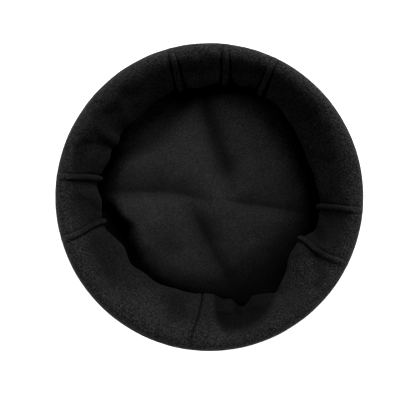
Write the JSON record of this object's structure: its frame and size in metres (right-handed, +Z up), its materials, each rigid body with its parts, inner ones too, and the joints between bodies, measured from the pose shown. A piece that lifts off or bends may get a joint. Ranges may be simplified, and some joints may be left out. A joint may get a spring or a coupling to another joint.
{
  "type": "pakol",
  "caption": "Soft round pakol in black fleece, lying on its crown with the head opening up: a flat crown disc and a thick rolled brim with pin tucks and a back seam.",
  "frame": {"origin": "on the surface that the hat lies on, under the middle of the crown", "axes": "+Z up and out of the head opening; -Y to the front of the hat, where the middle pin tuck is, and +Y to the back seam; +X to the wearer's right"},
  "size_m": [0.2722, 0.2712, 0.0746],
  "materials": {
    "black_fleece": "matt brushed fleece with a short curled nap"
  },
  "bodies": {
    "root": {"crown": "black_fleece", "rolled_band": "black_fleece"}
  },
  "joints": []
}
